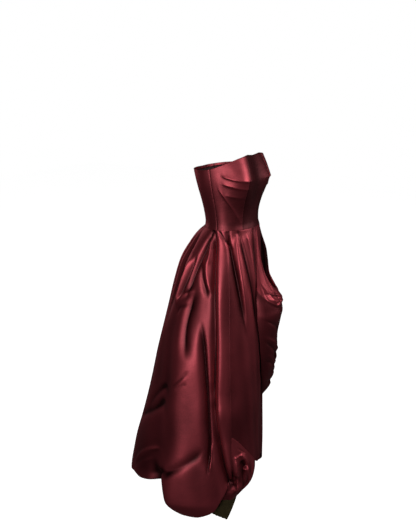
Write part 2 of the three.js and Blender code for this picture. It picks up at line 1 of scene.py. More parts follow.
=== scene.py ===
import bmesh
import bpy
import numpy as np
from mathutils import Euler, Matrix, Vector


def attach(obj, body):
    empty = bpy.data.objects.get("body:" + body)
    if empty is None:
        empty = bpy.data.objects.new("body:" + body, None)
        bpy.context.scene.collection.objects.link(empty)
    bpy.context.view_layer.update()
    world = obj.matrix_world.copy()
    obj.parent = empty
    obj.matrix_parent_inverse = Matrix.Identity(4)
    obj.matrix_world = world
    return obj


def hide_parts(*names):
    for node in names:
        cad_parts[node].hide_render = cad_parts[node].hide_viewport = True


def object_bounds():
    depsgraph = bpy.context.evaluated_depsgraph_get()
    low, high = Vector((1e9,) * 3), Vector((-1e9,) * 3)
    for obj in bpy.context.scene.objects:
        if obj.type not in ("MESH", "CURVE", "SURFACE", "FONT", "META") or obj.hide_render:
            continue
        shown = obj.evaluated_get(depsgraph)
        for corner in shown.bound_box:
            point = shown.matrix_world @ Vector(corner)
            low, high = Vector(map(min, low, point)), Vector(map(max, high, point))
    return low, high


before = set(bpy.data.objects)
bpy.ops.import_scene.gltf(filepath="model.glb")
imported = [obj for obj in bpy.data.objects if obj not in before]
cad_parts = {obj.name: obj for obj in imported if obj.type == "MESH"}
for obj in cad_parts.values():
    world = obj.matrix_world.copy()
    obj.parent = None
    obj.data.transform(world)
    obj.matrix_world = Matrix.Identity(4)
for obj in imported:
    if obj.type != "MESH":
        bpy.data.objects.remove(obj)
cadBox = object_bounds()
mm = 0.001


# Each row of a table as a dictionary by its columns' names.
def rowsOf(columns, *rows):
    return [dict(zip(columns.split(), row)) for row in rows]


def ease(t):
    t = np.clip(t, 0, 1)
    return t * t * (3 - 2 * t)


def mix(a, b, t):
    return a + (b - a) * t


def hermite(t, start, end, startSlope, endSlope):
    lead = t * (1 - t) * (1 - t) * startSlope
    tail = t * t * (t - 1) * endSlope
    return mix(start, end, ease(t)) + lead + tail


# A smooth curve through a column of a table, by another of its columns.
def curveOf(rows, key, by="height"):
    points = sorted((row[by], row[key]) for row in rows)
    x, y = np.array(points, float).T
    slope = np.empty_like(y)
    slope[1:-1] = (y[2:] - y[:-2]) / (x[2:] - x[:-2])
    slope[0] = (y[1] - y[0]) / (x[1] - x[0])
    slope[-1] = (y[-1] - y[-2]) / (x[-1] - x[-2])

    def curve(at):
        at = np.clip(at, x[0], x[-1])
        i = np.clip(np.searchsorted(x, at, side="right") - 1, 0, len(x) - 2)
        span = x[i + 1] - x[i]
        return hermite((at - x[i]) / span, y[i], y[i + 1], span * slope[i], span * slope[i + 1])

    return curve


def wrapped(angle):
    return np.mod(angle + 180, 360) - 180


def around(angle, radius, height, setBack=0.0):
    turn = np.radians(angle)
    return np.stack([-np.sin(turn) * radius, setBack - np.cos(turn) * radius, height + 0 * turn], -1)


# A crease's section across it: a soft hump, drawn to a crest as crisp goes from 0 to 1.
def creaseShape(x, crisp):
    soft = np.exp(-x * x)
    sharp = np.exp(-1.7 * (np.sqrt(x * x + 0.03) - 0.17))
    return mix(soft, sharp, crisp)


# Slow waves that keep the cloth from lying mathematically smooth. The same seed gives the same cloth.
def slowWaves(seed, count, lengthAround, lengthDown, height):
    picks = np.random.default_rng(seed)
    waves = [
        (
            picks.uniform(0.6, 1.6) / lengthAround,
            picks.uniform(-1, 1) / lengthDown,
            picks.uniform(0, 2 * np.pi),
            picks.uniform(0.4, 1),
        )
        for _ in range(count)
    ]

    def lift(aroundAt, downAt):
        total = 0.0
        for byAround, byDown, phase, size in waves:
            total = total + size * np.sin(2 * np.pi * (aroundAt * byAround + downAt * byDown) + phase)
        return height * total / count**0.5

    return lift


# The bodice at each height: half its width, its depths, how far its cups stand out and it is set back.
bodiceSections = rowsOf(
    "height halfWidth front back cup setBack",
    (0, 113, 90, 89, 0, 0),
    (20, 110, 87, 86, 0, 2),
    (60, 114, 91, 88, 2, 6),
    (100, 122, 98, 92, 10, 11),
    (140, 131, 107, 97, 22, 17),
    (172, 136, 112, 100, 30, 22),
    (205, 138, 111, 103, 27, 27),
    (235, 140, 107, 105, 21, 31),
    (262, 141, 103, 106, 15, 35),
)
neckline = rowsOf(
    "angle height",
    (0, 248), (12, 250), (24, 252), (42, 244), (60, 228), (87, 206), (125, 200), (180, 196),
)
bodiceSeams = {
    "centreBackLeft": (-180, -180),
    "backLeft": (-142, -147),
    "sideLeft": (-88, -83),
    "princessLeft": (-38, -27),
    "princessRight": (38, 27),
    "sideRight": (88, 83),
    "backRight": (142, 147),
    "centreBack": (180, 180),
}
bodiceFit = {
    "cupAngle": 34,
    "cupSpread": 24,
    "bustHeight": 200,
    "foot": 0.1,
    "seamDip": 0.35,
    "seamDipWidth": 2.6,
    "wavesAt": 120,  # the radius, in mm, at which the slow waves of the cloth are laid out
}
# Soft tucks across the cups, each steep below its edge and fading slowly above it.
draped = rowsOf(
    "sideAngle sideHeight frontAngle frontHeight sag width depth",
    (69, 190, 14, 168, 7, 6, 5.5),
    (70, 163, 16, 137, 4, 6, 4),
    (77, 152, 37, 10, 4, 10, 4.5),
    (68, 124, 26, 112, 3, 7, 2.6),
)
tuckEnds = {"side": 9, "front": 26, "above": 0.55, "below": 2.2}
bodiceCurves = {key: curveOf(bodiceSections, key) for key in ("halfWidth", "front", "back", "cup", "setBack")}
necklineCurve = curveOf(neckline, "height", "angle")
bodiceWaves = slowWaves(seed=4, count=14, lengthAround=70, lengthDown=90, height=0.5)


def tuckLift(angle, height):
    fromFront = np.abs(wrapped(angle))
    lift = 0.0
    for tuck in draped:
        share = np.clip((tuck["sideAngle"] - fromFront) / (tuck["sideAngle"] - tuck["frontAngle"]), 0, 1)
        edge = mix(tuck["sideHeight"], tuck["frontHeight"], share) - tuck["sag"] * np.sin(np.pi * share)
        fade = ease((tuck["sideAngle"] - fromFront) / tuckEnds["side"])
        fade = fade * ease((fromFront - tuck["frontAngle"]) / tuckEnds["front"])
        above = np.clip((height - edge) / tuck["width"], -20, 20)
        slope = np.where(above > 0, -tuckEnds["above"], tuckEnds["below"])
        lift = lift + tuck["depth"] * fade * np.exp(slope * above)
    return lift


def seamAngleAt(seam, height):
    atWaist, atBust = bodiceSeams[seam]
    return mix(atWaist, atBust, height / bodiceFit["bustHeight"])


def bodicePoint(angle, height):
    sine, cosine = np.sin(np.radians(angle)), np.cos(np.radians(angle))
    depth = np.where(cosine > 0, bodiceCurves["front"](height), bodiceCurves["back"](height))
    ellipse = 1 / np.hypot(sine / bodiceCurves["halfWidth"](height), cosine / depth)
    cups = 0.0
    for side in (-1, 1):
        cups = cups + np.exp(-((wrapped(angle - side * bodiceFit["cupAngle"]) / bodiceFit["cupSpread"]) ** 2))
    radius = ellipse + bodiceCurves["cup"](height) * cups + tuckLift(angle, height)
    radius = radius + bodiceWaves(np.radians(angle) * bodiceFit["wavesAt"], height)
    for seam in bodiceSeams:
        off = np.radians(wrapped(angle - seamAngleAt(seam, height))) * radius
        radius = radius - bodiceFit["seamDip"] * np.exp(-((off / bodiceFit["seamDipWidth"]) ** 2))
    return around(angle, radius, height, bodiceCurves["setBack"](height))


# The skirt's radius at each height, in eight directions.
directions = ["front", "frontRight", "right", "backRight", "back", "backLeft", "left", "frontLeft"]
skirtSections = rowsOf(
    "height front frontRight right backRight back backLeft left frontLeft",
    (0, 90, 100, 113, 99, 89, 99, 113, 100),
    (-30, 95, 106, 121, 124, 128, 124, 120, 103),
    (-65, 100, 114, 131, 147, 155, 147, 129, 105),
    (-125, 107, 128, 150, 178, 191, 177, 146, 109),
    (-200, 114, 142, 168, 201, 217, 199, 160, 113),
    (-300, 119, 154, 184, 226, 244, 224, 173, 115),
    (-420, 122, 164, 198, 251, 274, 248, 184, 116),
    (-600, 125, 176, 216, 285, 313, 281, 198, 117),
    (-780, 128, 184, 232, 326, 358, 320, 210, 118),
    (-900, 131, 189, 245, 356, 392, 350, 218, 121),
    (-1000, 134, 192, 250, 372, 408, 366, 222, 124),
    (-1045, 134, 193, 244, 356, 396, 350, 220, 126),
    (-1090, 135, 193, 232, 318, 358, 314, 212, 127),
)
# Long folds, from a top height to a bottom one through three angles. A depth above 0 stands out of the
# cloth's face. The flank towards the smaller angles is flank times as wide as the other.
skirtFolds = rowsOf(
    "top bottom angles widths depth fadeIn fadeOut crisp flank",
    # the wearer's right front
    (0, -600, (91, 77.5, 77.5), (7, 12), -15, 0.02, 0.12, 0.5, 1),
    (-520, -960, (77.5, 71, 58), (13, 12), -22, 0.25, 0.1, 0.4, 1),
    (-20, -760, (84, 73.5, 71), (8, 11), 17, 0.3, 0.2, 0.4, 6),
    (-560, -960, (73, 68, 55), (12, 9), 14, 0.25, 0.3, 0.5, 4),
    (0, -420, (70, 49, 40), (8, 22), -14, 0.02, 0.4, 0.6, 0.5),
    (-10, -430, (53, 43, 33), (7, 12), 11, 0.08, 0.5, 0.4, 2.5),
    (0, -430, (49, 26, 12), (6, 17), -12, 0.02, 0.4, 0.6, 0.6),
    (-10, -260, (30, 21, 13), (6, 10), 5, 0.1, 0.4, 0.5, 2),
    (0, -330, (6, 14, 16), (7, 10), -8, 0.02, 0.3, 0.5, 1),
    # the wearer's right back
    (0, -260, (94, 109, 114), (7, 12), -16, 0.02, 0.3, 0.6, 1),
    (-200, -460, (103, 108, 100), (12, 14), -12, 0.3, 0.3, 0.4, 1),
    (-300, -860, (93, 83, 79.3), (8, 10), -15, 0.2, 0.1, 0.6, 1),
    (-200, -1090, (109, 104, 100), (40, 58), 30, 0.35, 0.1, 0, 1.4),
    (0, -420, (131, 136, 142), (9, 22), -12, 0.02, 0.5, 0.4, 1),
    (0, -520, (146, 151, 156), (9, 24), -12, 0.02, 0.5, 0.4, 1),
    (0, -700, (163, 167, 168), (9, 30), -14, 0.02, 0.4, 0.4, 1),
    (-850, -1120, (121, 116.5, 114), (15, 22), -48, 0.6, 0.05, 0, 1),
    # the wearer's left back and left side
    (0, -760, (196, 193, 190), (9, 30), -14, 0.02, 0.4, 0.4, 1),
    (0, -560, (212, 208, 203), (9, 24), -12, 0.02, 0.5, 0.4, 1),
    (0, -400, (228, 226, 222), (9, 20), -12, 0.02, 0.5, 0.4, 1),
    (-900, -1120, (222, 222, 222), (18, 26), -40, 0.7, 0.05, 0, 1),
    (-260, -1090, (236, 243, 250), (34, 44), 16, 0.3, 0.1, 0.4, 1.5),
    (0, -320, (243, 244, 240), (9, 12), -14, 0.02, 0.4, 0.5, 1),
    (0, -900, (258, 260, 261), (9, 18), -15, 0.02, 0.2, 0.5, 1),
    (-300, -1090, (281, 283, 282), (20, 26), 12, 0.3, 0.1, 0.4, 0.6),
    (0, -400, (280, 284, 290), (9, 14), -10, 0.02, 0.5, 0.5, 1),
)
# Shorter creases, each from one point to another, bowed to one side by bow.
crossCreases = rowsOf(
    "fromAngle fromHeight toAngle toHeight width depth bow crisp",
    # the pleat laid over at the right front, and the crumples behind it
    (84, -4, 61, -62, 5, -5, 0, 0.6),
    (65.3, 4, 65.7, -46, 3.5, -4, 0, 0.6),
    (98, -30, 93, -110, 7, 5, 4, 0.3),
    (96, -90, 86, -200, 9, 5, -5, 0.3),
    (103, -110, 90, -215, 10, -6, -4, 0.3),
    # the ridge and the valley that end in a point at the right back, and the lip under it
    (121, -110, 127.5, -262, 8, 11, 0, 0.5),
    (115, -110, 124.5, -256, 6, -12, 0, 0.5),
    (126, -272, 108, -212, 7, 5, 9, 0.5),
    (122, -300, 112, -262, 9, -3, 8, 0.2),
    # small creases pulled across the broad fold
    (110, -550, 99, -490, 6, -2.2, 0, 0.6),
    (108, -560, 99, -534, 5, -1.6, 0, 0.6),
    (109, -568, 100, -512, 6, 1.6, 0, 0.4),
    (141, -700, 120, -576, 15, -5, 14, 0.2),
    (139, -930, 121, -818, 9, 7, 14, 0.4),
    (138, -965, 124, -868, 8, 4, 10, 0.4),
    # the line over the near lobe, and the knot where the side valley ends
    (122, -925, 86, -790, 15, -8, -10, 0.2),
    (80.4, -745, 79.4, -866, 4, -7, 0, 0.6),
    (77.3, -770, 77.3, -866, 4, 5, 0, 0.5),
    (121, -640, 151, -770, 18, -9, 0, 0.3),
    (238, -950, 205, -850, 18, -12, 0, 0.3),
    (268, -930, 243, -860, 15, -10, 0, 0.3),
)
skirtSeams = rowsOf(
    "height frontLeft frontRight sideRight centreBack sideLeft",
    (0, -64, 66, 91, 180, 271),
    (-100, -66, 64, 84.5, 180, 271),
    (-260, -67, 62, 78.5, 180, 271),
    (-560, -66, 60, 77.3, 180, 271),
    (-640, -65, 59, 75.5, 180, 271),
    (-756, -64, 58, 71, 180, 271),
    (-850, -63, 58, 66.5, 180, 271),
    (-898, -62, 58, 63.3, 180, 271),
    (-960, -62, 58, 61, 180, 271),
    (-1090, -62, 58, 61, 180, 271),
)
hems = {
    "skirt_front": rowsOf(
        "share height",
        (0, -980), (0.27, -933), (0.52, -906), (0.66, -892), (0.78, -841), (0.87, -797), (0.95, -756),
        (1, -735),
    ),
    "skirt_side_right": rowsOf("share height", (0, -905), (1, -932)),
    "skirt_back_right": rowsOf(
        "share height",
        (0, -932), (0.03, -960), (0.06, -985), (0.12, -1035), (0.18, -1060), (0.25, -1075), (0.345, -1075),
        (0.375, -1058), (0.4, -1012), (0.424, -965), (0.45, -945), (0.5, -948), (0.588, -968), (0.66, -976),
        (0.76, -1006), (0.88, -1036), (1, -1052),
    ),
    "skirt_back_left": rowsOf(
        "share height",
        (0, -1052), (0.2, -1068), (0.48, -1026), (0.68, -1070), (0.85, -1070), (1, -1068),
    ),
    "skirt_side_left": rowsOf("share height", (0, -1068), (0.2, -1064), (0.5, -1040), (1, -985)),
}
# tone makes a whole panel's colour lighter or darker: painted light and shade.
skirtPanels = rowsOf(
    "name fromSeam toSeam across down turnedUnder turnStarts turnEnds width length area tone",
    ("skirt_front", "frontLeft", "frontRight", 90, 260, 0, 0, 0, 0.42, 1.02, 0.29, 0.9),
    ("skirt_side_right", "frontRight", "sideRight", 22, 240, 0, 0, 0, 0.1, 0.98, 0.059, 1.1),
    ("skirt_back_right", "sideRight", "centreBack", 150, 250, 34, 0.1, 2, 0.85, 1.3, 0.55, 1),
    ("skirt_back_left", "centreBack", "sideLeft", 120, 250, 34, -1, 2, 0.7, 1.3, 0.5, 1),
    ("skirt_side_left", "sideLeft", "frontLeft", 30, 250, 34, -1, 0.9, 0.17, 1.15, 0.093, 1),
)
skirtFit = {
    "seamOverlap": 0.9,  # how far two panels reach over each other at a seam, at a radius of seamRadius
    "seamRadius": 90,
    "wavesAt": 200,
    "wavesGrow": 200,
    "pressedShare": 0.2,  # what is left of a fold's depth where it is pressed flat into the waist
    "pressedDown": 70,
    "foldWidth": 1.25,
}
skirtColumns = [curveOf(skirtSections, direction) for direction in directions]
seamCurves = {key: curveOf(skirtSeams, key) for key in skirtSeams[0] if key != "height"}
skirtWaves = slowWaves(seed=11, count=22, lengthAround=75, lengthDown=300, height=1.5)


def skirtBase(angle, height):
    count = len(directions)
    position = np.mod(angle, 360) / 360 * count
    first = np.floor(position).astype(int)
    rings = np.stack([column(height) for column in skirtColumns])
    picked = [np.take_along_axis(rings, ((first + step) % count)[None], 0)[0] for step in (-1, 0, 1, 2)]
    before, here, after, last = picked
    return hermite(position - first, here, after, (after - before) / 2, (last - here) / 2)


def downFoldLift(fold, angle, height, radius):
    share = (fold["top"] - height) / (fold["top"] - fold["bottom"])
    t = np.clip(share, 0, 1)
    start, middle, end = fold["angles"]
    line = start * (1 - t) * (1 - 2 * t) + middle * 4 * t * (1 - t) + end * t * (2 * t - 1)
    across = np.radians(wrapped(angle - line)) * radius
    fade = ease((t + 0.001) / fold["fadeIn"]) * ease((1 - t) / fold["fadeOut"])
    pressed = 1
    if fold["top"] == 0:
        pressed = mix(skirtFit["pressedShare"], 1, ease(-height / skirtFit["pressedDown"]))
    width = skirtFit["foldWidth"] * mix(*fold["widths"], t) * np.where(across < 0, fold["flank"], 1)
    lift = fold["depth"] * fade * pressed * creaseShape(across / width, fold["crisp"])
    return np.where((share < 0) | (share > 1), 0, lift)


def crossCreaseLift(crease, angle, height, radius):
    x = np.radians(wrapped(angle - crease["fromAngle"])) * radius
    y = height - crease["fromHeight"]
    lineX = np.radians(crease["toAngle"] - crease["fromAngle"]) * radius
    lineY = crease["toHeight"] - crease["fromHeight"]
    length = np.hypot(lineX, lineY)
    share = (x * lineX + y * lineY) / length**2
    off = (x * lineY - y * lineX) / length - crease["bow"] * 4 * share * (1 - share)
    fade = ease(share * 3 + 0.5) * ease((1 - share) * 3 + 0.5)
    return crease["depth"] * fade * creaseShape(off / crease["width"], crease["crisp"])


def skirtRadius(angle, height):
    base = skirtBase(angle, height)
    lift = 0.0
    for fold in skirtFolds:
        lift = lift + downFoldLift(fold, angle, height, base)
    for crease in crossCreases:
        lift = lift + crossCreaseLift(crease, angle, height, base)
    waves = skirtWaves(np.radians(angle) * skirtFit["wavesAt"], height)
    return base + lift + waves * ease(-height / skirtFit["wavesGrow"])


def between(fromAngle, toAngle, share):
    allowance = np.degrees(skirtFit["seamOverlap"] / 2 / skirtFit["seamRadius"])
    return mix(fromAngle - allowance, toAngle + allowance, share)


def panelAngle(panel, height, share):
    start, end = seamCurves[panel["fromSeam"]](height), seamCurves[panel["toSeam"]](height)
    return between(start, np.where(end < start, end + 360, end), share)


def unit(vectors):
    return vectors / np.maximum(np.linalg.norm(vectors, axis=1)[:, None], 1e-9)


weave = {
    "thickness": 0.8,
    "turnRadius": 0.9,
    "turnSteps": 5,
    "insideSteps": 4,
    "seamWidth": 1.4,
    "seamShade": 0.35,
    "slopeStep": 1e-3,
    "reliefPasses": ((30, 0.6), (270, 0.4)),  # how often the sheet is softened, and what that counts for
}

# Painted light and shade: patches where the satin's colour is made lighter or darker than around it.
lightAndShadePatches = rowsOf(
    "angle height spreadAngle spreadHeight gain",
    (88, -480, 12, 170, 0.25),
    (98, -420, 9, 160, -0.3),
    (108, -930, 18, 120, -0.3),
    (132, -900, 18, 110, -0.5),
    (50, -225, 16, 90, -0.2),
    (57, -560, 7, 330, 0.3),
    (84, -300, 7, 150, -0.3),
    (45, -660, 24, 210, -0.4),
    (69, -160, 9, 80, -0.5),
    (49, -130, 7, 90, -0.25),
    (106, -716, 9, 90, -0.5),
    (128, -900, 10, 70, -0.4),
    (2, 170, 16, 90, -0.5),
    (37, 200, 8, 60, -0.25),
)
# Deep hollows between tucked folds, where no light reaches the cloth.
hollows = rowsOf(
    "angle height spreadAngle spreadHeight gain",
    (47, -846, 3.4, 16, -0.93),
    (44.8, -872, 3.2, 24, -0.85),
    (57, -870, 1.8, 70, -0.7),
    (55.5, -955, 2.5, 24, -0.6),
)


def patched(value, patches, surface):
    angle = np.degrees(np.arctan2(-surface[:, 0], -surface[:, 1]))
    for patch in patches:
        x = wrapped(angle - patch["angle"]) / patch["spreadAngle"]
        y = (surface[:, 2] - patch["height"]) / patch["spreadHeight"]
        value = value * (1 + patch["gain"] * np.exp(-x * x - y * y))
    return value


# How far each point stands above the cloth around it, in millimetres: the satin's colour takes it as painted
# shade in hollows and painted highlight on crests.
def reliefOf(surface, outward, row, column):
    sheet = np.empty((row.max() + 1, column.max() + 1, 3))
    sheet[row, column] = surface
    soft, reliefShade = sheet.copy(), 0.0
    for passes, share in weave["reliefPasses"]:
        for _ in range(passes):
            soft[1:-1] = (soft[:-2] + 2 * soft[1:-1] + soft[2:]) / 4
            soft[:, 1:-1] = (soft[:, :-2] + 2 * soft[:, 1:-1] + soft[:, 2:]) / 4
        reliefShade = reliefShade + share * ((sheet - soft)[row, column] * outward).sum(1)
    return reliefShade


# A sheet of cloth on the surface point(u, v), u round by the wearer's right and v down, with its top or foot
# turned to the inside by so many millimetres. finish is its face's material and its reverse's, flat is the
# cut's width and length in metres, and tone, a number or a function of u and v, is how light the satin's
# colour is painted: painted light and shade. A number is also given the painted patches of light and shade.
def clothSheet(name, finish, columns, plainRows, point, flat, tone=1.0, turnTop=0, turnFoot=0, seamDip=0.0):
    rows = [(v, 0.0, 0.0) for v in np.linspace(0, 1, plainRows + 1)]
    radius = weave["turnRadius"]
    turns = np.linspace(0, np.pi, weave["turnSteps"])[1:]
    roll = [(radius * (1 - np.cos(t)), radius * np.sin(t)) for t in turns]
    inside = np.linspace(0, 1, weave["insideSteps"])[1:]
    if turnFoot:
        rows += [(1, inward, beyond) for inward, beyond in roll]
        rows += [(1 - turnFoot * t * mm / flat[1], 2 * radius, 0) for t in inside]
    if turnTop:
        top = [(0, inward, -beyond) for inward, beyond in roll]
        top += [(turnTop * t * mm / flat[1], 2 * radius, 0) for t in inside]
        rows = top[::-1] + rows
    rows = np.array(rows)
    grid = bmesh.new()
    bmesh.ops.create_grid(grid, x_segments=columns, y_segments=len(rows) - 1, size=1)
    mesh = bpy.data.meshes.new(name)
    grid.to_mesh(mesh)
    grid.free()
    places = np.empty(len(mesh.vertices) * 3)
    mesh.vertices.foreach_get("co", places)
    places = places.reshape(-1, 3)
    row = np.rint((1 - places[:, 1]) / 2 * (len(rows) - 1)).astype(int)
    column = np.rint((1 - places[:, 0]) / 2 * columns).astype(int)
    seam = weave["seamWidth"] * mm / flat[0]
    u = np.concatenate([[0], np.linspace(seam, 1 - seam, columns - 1), [1]])[column]
    v, inward, beyond = rows[row].T
    atSeam = (column == 0) | (column == columns)
    inward = inward + np.where(atSeam, seamDip, 0)
    step = weave["slopeStep"]
    surface = point(u, v)
    byAround = point(u + step, v) - point(u - step, v)
    byDown = point(u, np.clip(v + step, 0, 1)) - point(u, np.clip(v - step, 0, 1))
    outward = unit(np.cross(byAround, byDown))
    downward = unit(byDown)
    reliefShade = reliefOf(surface, outward, row, column)
    surface = surface - outward * inward[:, None] + downward * beyond[:, None]
    mesh.vertices.foreach_set("co", (surface * mm).ravel())
    corners = np.empty(len(mesh.loops), int)
    mesh.loops.foreach_get("vertex_index", corners)
    layer = mesh.uv_layers.new(name="cloth")
    layer.data.foreach_set("uv", np.stack([u * flat[0], v * flat[1]], -1)[corners].ravel())
    # The tone attribute carries painted light and shade.
    tones = patched(tone, lightAndShadePatches, surface) if np.isscalar(tone) else tone(u, v)
    # open darkens the colour and takes the gloss away at seams and in the hollows: painted shade.
    unshaded = patched(np.where(atSeam & (seamDip > 0), weave["seamShade"], 1.0), hollows, surface)
    for key, values in (("reliefShade", reliefShade), ("tone", tones), ("open", unshaded)):
        mesh.attributes.new(key, "FLOAT", "POINT").data.foreach_set("value", values)
    mesh.polygons.foreach_set("use_smooth", np.ones(len(mesh.polygons), bool))
    for side in finish:
        mesh.materials.append(side)
    mesh.update()
    piece = bpy.data.objects.new(name, mesh)
    bpy.context.scene.collection.objects.link(piece)
    wall = piece.modifiers.new("cloth thickness", "SOLIDIFY")
    wall.thickness = weave["thickness"] * mm
    wall.offset = -1
    wall.material_offset = 1
    wall.material_offset_rim = 0
    return piece


# A value in a material's node tree, which takes part in plain arithmetic.
class Value:
    def __init__(self, paint, socket):
        self.paint, self.socket = paint, socket

    def math(self, operation, other, swapped=False):
        values = [other, self] if swapped else [self, other]
        return self.paint.node("ShaderNodeMath", {"operation": operation}, dict(enumerate(values)))

    def __add__(self, other):
        return self.math("ADD", other)

    def __mul__(self, other):
        return self.math("MULTIPLY", other)

    def __sub__(self, other):
        return self.math("SUBTRACT", other)

    def __rsub__(self, other):
        return self.math("SUBTRACT", other, swapped=True)

    __radd__ = __add__
    __rmul__ = __mul__


class Paint:
    def __init__(self, painted, shader="Principled BSDF"):
        painted.use_nodes = True
        self.painted, self.tree = painted, painted.node_tree
        self.shader = self.tree.nodes[shader]

    # Any node: its settings first, then the values or links of its sockets.
    def node(self, kind, settings=None, sockets=None, output=0):
        made = self.tree.nodes.new(kind)
        for key, value in (settings or {}).items():
            setattr(made, key, value)
        for key, value in (sockets or {}).items():
            self.plug(made.inputs[key], value)
        return Value(self, made.outputs[output])

    def plug(self, socket, value):
        if isinstance(value, Value):
            self.tree.links.new(value.socket, socket)
        elif socket.type == "RGBA":
            socket.default_value = (*value, 1)
        else:
            socket.default_value = value

    def set(self, **sockets):
        for key, value in sockets.items():
            self.plug(self.shader.inputs[key.replace("_", " ")], value)

    def blend(self, factor, first, second):
        sockets = {0: factor, 6: first, 7: second}
        return self.node("ShaderNodeMix", {"data_type": "RGBA"}, sockets, 2)

    def noise(self, vector, scale, detail=2.0, roughness=0.5):
        sockets = {"Vector": vector, "Scale": scale, "Detail": detail, "Roughness": roughness}
        return self.node("ShaderNodeTexNoise", {"noise_dimensions": "3D"}, sockets)

    def stretched(self, vector, scale):
        return self.node("ShaderNodeMapping", None, {"Vector": vector, "Scale": scale})

    def bump(self, height, strength, distance, **sockets):
        sockets.update(Strength=strength, Distance=distance, Height=height)
        return self.node("ShaderNodeBump", None, sockets)


satinLook = {
    "deep": (0.05, 0.003, 0.005),
    "light": (0.47, 0.063, 0.082),
    "metallic": 0.9,
    "edgeTint": (1.0, 0.35, 0.4),
    "roughness": 0.47,
    "gloss": 0.34,
    "glossRoughness": 0.44,
    "sheen": 0.03,
    "sheenRoughness": 0.4,
    "sheenTint": (1.0, 0.75, 0.76),
}
# The satin's reverse is matte, and its colour is darkened nearly to black: painted shade for the inside of
# the gown and the drape's cowl.
satinReverseShade = {
    "deep": (0.010, 0.006, 0.007),
    "light": (0.045, 0.020, 0.022),
    "metallic": 0.0,
    "edgeTint": (1.0, 0.6, 0.6),
    "roughness": 0.62,
    "gloss": 0.0,
    "glossRoughness": 0.5,
    "sheen": 0.0,
    "sheenRoughness": 0.5,
    "sheenTint": (1.0, 0.8, 0.8),
}
# How the satin's light colour is spread, how much painted shade and highlight the relief gives it, and the
# scales and depths of its slubs, weft and grain.
satinWeave = {
    "clouds": 7.0,
    "slubs": (900.0, 26.0, 1.0),
    "weft": (18.0, 170.0, 1.0),
    "threads": (60.0, 2400.0, 1.0),
    "cloudShare": 0.42,
    "slubShare": 0.1,
    "weftShare": 0.24,
    "reliefShadeShare": 0.14,
    "least": 0.03,
    "softScale": 26.0,
    "roughClouds": 0.08,
    "roughSlubs": 0.05,
    "roughLess": 0.06,
    "slubGrain": 0.6,
    "threadGrain": 0.4,
    "fineStrength": 0.12,
    "fineDepth": 0.0004,
    "softStrength": 0.3,
    "softDepth": 0.002,
}


def satin(name, look):
    paint, weaving = Paint(bpy.data.materials.new(name)), satinWeave
    cloth = paint.node("ShaderNodeUVMap", {"uv_map": "cloth"})
    place = paint.node("ShaderNodeTexCoord", output=3)
    clouds = paint.noise(place, weaving["clouds"], 3.0)
    slubs = paint.noise(paint.stretched(cloth, weaving["slubs"]), 1.0, 2.0)
    weft = paint.noise(paint.stretched(cloth, weaving["weft"]), 1.0, 2.0)
    threads = paint.noise(paint.stretched(cloth, weaving["threads"]), 1.0, 1.0)
    reliefShade = paint.node("ShaderNodeAttribute", {"attribute_name": "reliefShade"}, output=2)
    panel = paint.node("ShaderNodeAttribute", {"attribute_name": "tone"}, output=2)
    unshaded = paint.node("ShaderNodeAttribute", {"attribute_name": "open"}, output=2)
    # clouds, slubs and weft vary the satin's own colour; relief, the tone attribute and open add painted
    # light and shade, and open also takes the gloss away in hollows and at seams, as painted shade.
    tone = clouds * weaving["cloudShare"] + slubs * weaving["slubShare"] + weaving["least"]
    tone = tone + weft * weaving["weftShare"] + reliefShade * weaving["reliefShadeShare"]
    tone = tone * panel * unshaded
    paint.set(Base_Color=paint.blend(tone, look["deep"], look["light"]))
    rough = clouds * weaving["roughClouds"] + slubs * weaving["roughSlubs"]
    paint.set(Roughness=rough + (look["roughness"] - weaving["roughLess"]))
    grain = slubs * weaving["slubGrain"] + threads * weaving["threadGrain"]
    soft = paint.noise(place, weaving["softScale"], 2.0)
    fine = paint.bump(grain, weaving["fineStrength"], weaving["fineDepth"])
    paint.set(Normal=paint.bump(soft, weaving["softStrength"], weaving["softDepth"], Normal=fine))
    paint.set(Metallic=look["metallic"], Coat_Weight=unshaded * look["gloss"])
    paint.set(Coat_Roughness=look["glossRoughness"], Specular_Tint=look["edgeTint"])
    paint.set(Sheen_Weight=look["sheen"], Sheen_Roughness=look["sheenRoughness"])
    paint.set(Sheen_Tint=look["sheenTint"])
    return paint.painted


satinFinish = (satin("duchess satin", satinLook), satin("duchess satin, reverse", satinReverseShade))


# Puts a sheet in the place of its solid.
def sewIn(piece, node):
    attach(piece, "dress")
    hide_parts(node)


print("satin mixed")


# The bodice's panels, each from its seam at the smaller angle to the next. tone makes a whole panel's colour
# lighter or darker: painted light and shade, which paints the centre front panel much darker.
bodicePanels = rowsOf(
    "name fromSeam toSeam across width length area tone",
    ("bodice_back_left", "centreBackLeft", "backLeft", 26, 0.076, 0.22, 0.0137, 1),
    ("bodice_side_back_left", "backLeft", "sideLeft", 36, 0.13, 0.23, 0.0278, 0.8),
    ("bodice_side_front_left", "sideLeft", "princessLeft", 64, 0.165, 0.28, 0.0301, 1),
    ("bodice_centre_front", "princessLeft", "princessRight", 76, 0.17, 0.29, 0.036, 0.3),
    ("bodice_side_front_right", "princessRight", "sideRight", 64, 0.165, 0.28, 0.0301, 1.1),
    ("bodice_side_back_right", "sideRight", "backRight", 36, 0.13, 0.23, 0.0278, 0.8),
    ("bodice_back_right", "backRight", "centreBack", 26, 0.076, 0.22, 0.0137, 1),
)
bodiceEdges = {"down": 96, "turnTop": 12, "turnFoot": 5, "seamDip": 0.8}


